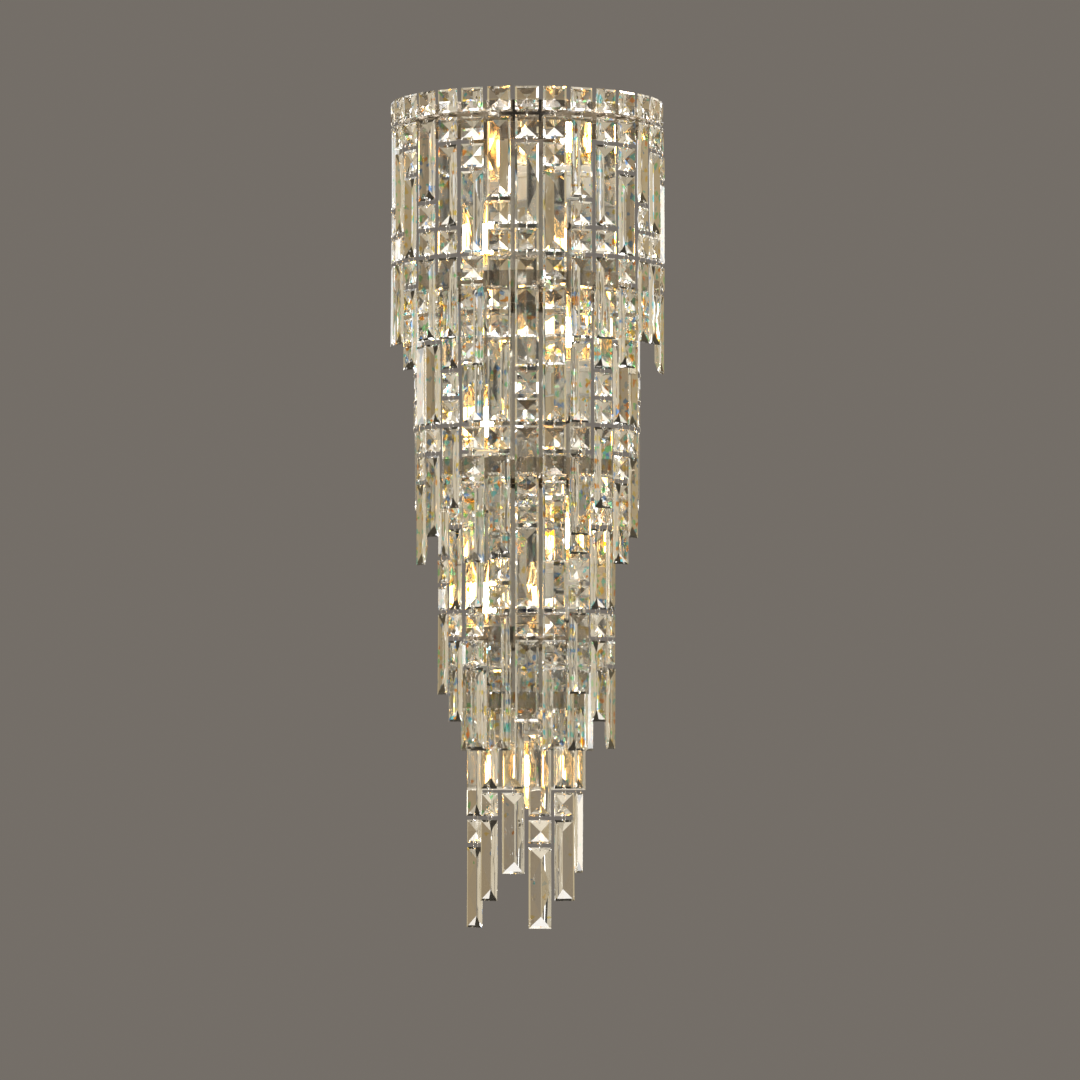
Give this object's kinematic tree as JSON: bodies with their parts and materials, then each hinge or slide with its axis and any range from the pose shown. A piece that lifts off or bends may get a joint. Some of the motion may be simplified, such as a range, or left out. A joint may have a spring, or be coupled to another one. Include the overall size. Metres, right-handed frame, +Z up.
{
  "type": "crystal wall sconce",
  "caption": "Tall tapering wall light: tiers of cut-crystal strands swing from half-round steel hoops in front of a polished backplate with candle lamps.",
  "frame": {"origin": "centre of the wall bracket's two screw holes, on the wall plane", "axes": "+X to the viewer's right along the wall, +Y into the wall, +Z up along the sconce's length"},
  "size_m": [0.3086, 0.192, 0.9305],
  "materials": {
    "crystal": "clear cut crystal, polished facets",
    "bulb_glass": "clear candle bulb glass, lit warm",
    "bulb_cap": "bright rolled thread",
    "lampholder": "white moulded",
    "wire_sleeve": "heat-proof sleeve",
    "grommet": "matt",
    "terminal": "white moulded",
    "zinc_steel": "zinc plated",
    "brass": "bare",
    "mirror_steel": "mirror-polished stainless steel",
    "polished_band": "polished and plated flat bar",
    "chrome_trim": "bright plated"
  },
  "bodies": {
    "sconce": {"arm_screws": "chrome_trim", "backplate": "mirror_steel", "bracket_studs": "zinc_steel", "bulb_caps": "bulb_cap", "bulbs": "bulb_glass", "cap_nuts": "chrome_trim", "crossbar_1": "polished_band", "crossbar_2": "polished_band", "crossbar_3": "polished_band", "crossbar_4": "polished_band", "crossbar_5": "polished_band", "crossbar_screws": "chrome_trim", "crown_crystals": "crystal", "crown_pins": "chrome_trim", "earth_screw": "brass", "hoop_1": "polished_band", "hoop_2": "polished_band", "hoop_3": "polished_band", "hoop_4": "polished_band", "hoop_5": "polished_band", "lamp_arms": "chrome_trim", "lamp_leads": "wire_sleeve", "lampholders": "lampholder", "lead_grommets": "grommet", "side_nuts": "chrome_trim", "strand_hooks": "chrome_trim", "terminal_block": "terminal", "tier_2_strands": "crystal", "tier_3_strands": "crystal", "wall_bracket": "zinc_steel", "wiring_trunks": "wire_sleeve"},
    "strand_1_01": {"strand_1_01": "crystal"},
    "strand_1_02": {"strand_1_02": "crystal"},
    "strand_1_03": {"strand_1_03": "crystal"},
    "strand_1_04": {"strand_1_04": "crystal"},
    "strand_1_05": {"strand_1_05": "crystal"},
    "strand_1_06": {"strand_1_06": "crystal"},
    "strand_1_07": {"strand_1_07": "crystal"},
    "strand_1_08": {"strand_1_08": "crystal"},
    "strand_1_09": {"strand_1_09": "crystal"},
    "strand_1_10": {"strand_1_10": "crystal"},
    "strand_1_11": {"strand_1_11": "crystal"},
    "strand_1_12": {"strand_1_12": "crystal"},
    "strand_1_13": {"strand_1_13": "crystal"},
    "strand_1_14": {"strand_1_14": "crystal"},
    "strand_1_15": {"strand_1_15": "crystal"},
    "strand_4_01": {"strand_4_01": "crystal"},
    "strand_4_02": {"strand_4_02": "crystal"},
    "strand_4_03": {"strand_4_03": "crystal"},
    "strand_4_04": {"strand_4_04": "crystal"},
    "strand_4_05": {"strand_4_05": "crystal"},
    "strand_4_06": {"strand_4_06": "crystal"},
    "strand_4_07": {"strand_4_07": "crystal"},
    "strand_5_01": {"strand_5_01": "crystal"},
    "strand_5_02": {"strand_5_02": "crystal"},
    "strand_5_03": {"strand_5_03": "crystal"},
    "strand_5_04": {"strand_5_04": "crystal"},
    "strand_5_05": {"strand_5_05": "crystal"},
    "strand_5_06": {"strand_5_06": "crystal"}
  },
  "joints": [
    {"name": "strand_1_01_swing", "type": "hinge", "parent": "sconce", "child": "strand_1_01", "pos_m": [-0.14969, -0.05963, 0.286], "axis": [-0.143, 0.9897, 0], "range_deg": [-3, 35]},
    {"name": "strand_1_02_swing", "type": "hinge", "parent": "sconce", "child": "strand_1_02", "pos_m": [-0.14221, -0.0895, 0.286], "axis": [-0.3405, 0.9403, 0], "range_deg": [-3, 35]},
    {"name": "strand_1_03_swing", "type": "hinge", "parent": "sconce", "child": "strand_1_03", "pos_m": [-0.12884, -0.11723, 0.286], "axis": [-0.5238, 0.8518, 0], "range_deg": [-3, 35]},
    {"name": "strand_1_04_swing", "type": "hinge", "parent": "sconce", "child": "strand_1_04", "pos_m": [-0.11013, -0.14167, 0.286], "axis": [-0.6854, 0.7281, 0], "range_deg": [-3, 35]},
    {"name": "strand_1_05_swing", "type": "hinge", "parent": "sconce", "child": "strand_1_05", "pos_m": [-0.08686, -0.16182, 0.286], "axis": [-0.8187, 0.5742, 0], "range_deg": [-3, 35]},
    {"name": "strand_1_06_swing", "type": "hinge", "parent": "sconce", "child": "strand_1_06", "pos_m": [-0.05998, -0.17685, 0.286], "axis": [-0.918, 0.3966, 0], "range_deg": [-3, 35]},
    {"name": "strand_1_07_swing", "type": "hinge", "parent": "sconce", "child": "strand_1_07", "pos_m": [-0.03063, -0.18612, 0.286], "axis": [-0.9793, 0.2025, 0], "range_deg": [-3, 35]},
    {"name": "strand_1_08_swing", "type": "hinge", "parent": "sconce", "child": "strand_1_08", "pos_m": [0, -0.18925, 0.286], "axis": [-1, 0, 0], "range_deg": [-3, 35]},
    {"name": "strand_1_09_swing", "type": "hinge", "parent": "sconce", "child": "strand_1_09", "pos_m": [0.03063, -0.18612, 0.286], "axis": [-0.9793, -0.2025, 0], "range_deg": [-3, 35]},
    {"name": "strand_1_10_swing", "type": "hinge", "parent": "sconce", "child": "strand_1_10", "pos_m": [0.05998, -0.17685, 0.286], "axis": [-0.918, -0.3966, 0], "range_deg": [-3, 35]},
    {"name": "strand_1_11_swing", "type": "hinge", "parent": "sconce", "child": "strand_1_11", "pos_m": [0.08686, -0.16182, 0.286], "axis": [-0.8187, -0.5742, 0], "range_deg": [-3, 35]},
    {"name": "strand_1_12_swing", "type": "hinge", "parent": "sconce", "child": "strand_1_12", "pos_m": [0.11013, -0.14167, 0.286], "axis": [-0.6854, -0.7281, 0], "range_deg": [-3, 35]},
    {"name": "strand_1_13_swing", "type": "hinge", "parent": "sconce", "child": "strand_1_13", "pos_m": [0.12884, -0.11723, 0.286], "axis": [-0.5238, -0.8518, 0], "range_deg": [-3, 35]},
    {"name": "strand_1_14_swing", "type": "hinge", "parent": "sconce", "child": "strand_1_14", "pos_m": [0.14221, -0.0895, 0.286], "axis": [-0.3405, -0.9403, 0], "range_deg": [-3, 35]},
    {"name": "strand_1_15_swing", "type": "hinge", "parent": "sconce", "child": "strand_1_15", "pos_m": [0.14969, -0.05963, 0.286], "axis": [-0.143, -0.9897, 0], "range_deg": [-3, 35]},
    {"name": "strand_4_01_swing", "type": "hinge", "parent": "sconce", "child": "strand_4_01", "pos_m": [-0.0687, -0.06037, -0.294], "axis": [-0.3096, 0.9509, 0], "range_deg": [-0.5, 6]},
    {"name": "strand_4_02_swing", "type": "hinge", "parent": "sconce", "child": "strand_4_02", "pos_m": [-0.05367, -0.08637, -0.294], "axis": [-0.6694, 0.7429, 0], "range_deg": [-0.5, 6]},
    {"name": "strand_4_03_swing", "type": "hinge", "parent": "sconce", "child": "strand_4_03", "pos_m": [-0.02937, -0.10401, -0.294], "axis": [-0.9136, 0.4065, 0], "range_deg": [-0.5, 6]},
    {"name": "strand_4_04_swing", "type": "hinge", "parent": "sconce", "child": "strand_4_04", "pos_m": [0, -0.11025, -0.294], "axis": [-1, 0, 0], "range_deg": [-0.5, 6]},
    {"name": "strand_4_05_swing", "type": "hinge", "parent": "sconce", "child": "strand_4_05", "pos_m": [0.02937, -0.10401, -0.294], "axis": [-0.9136, -0.4065, 0], "range_deg": [-0.5, 6]},
    {"name": "strand_4_06_swing", "type": "hinge", "parent": "sconce", "child": "strand_4_06", "pos_m": [0.05367, -0.08637, -0.294], "axis": [-0.6694, -0.7429, 0], "range_deg": [-0.5, 6]},
    {"name": "strand_4_07_swing", "type": "hinge", "parent": "sconce", "child": "strand_4_07", "pos_m": [0.0687, -0.06037, -0.294], "axis": [-0.3096, -0.9509, 0], "range_deg": [-0.5, 6]},
    {"name": "strand_5_01_swing", "type": "hinge", "parent": "sconce", "child": "strand_5_01", "pos_m": [-0.05738, -0.05795, -0.367], "axis": [-0.3284, 0.9445, 0], "range_deg": [-2, 2]},
    {"name": "strand_5_02_swing", "type": "hinge", "parent": "sconce", "child": "strand_5_02", "pos_m": [-0.04104, -0.08279, -0.367], "axis": [-0.7373, 0.6756, 0], "range_deg": [-2, 2]},
    {"name": "strand_5_03_swing", "type": "hinge", "parent": "sconce", "child": "strand_5_03", "pos_m": [-0.01487, -0.0969, -0.367], "axis": [-0.9696, 0.2447, 0], "range_deg": [-2, 2]},
    {"name": "strand_5_04_swing", "type": "hinge", "parent": "sconce", "child": "strand_5_04", "pos_m": [0.01487, -0.0969, -0.367], "axis": [-0.9696, -0.2447, 0], "range_deg": [-2, 2]},
    {"name": "strand_5_05_swing", "type": "hinge", "parent": "sconce", "child": "strand_5_05", "pos_m": [0.04104, -0.08279, -0.367], "axis": [-0.7373, -0.6756, 0], "range_deg": [-2, 2]},
    {"name": "strand_5_06_swing", "type": "hinge", "parent": "sconce", "child": "strand_5_06", "pos_m": [0.05738, -0.05795, -0.367], "axis": [-0.3284, -0.9445, 0], "range_deg": [-2, 2]}
  ]
}
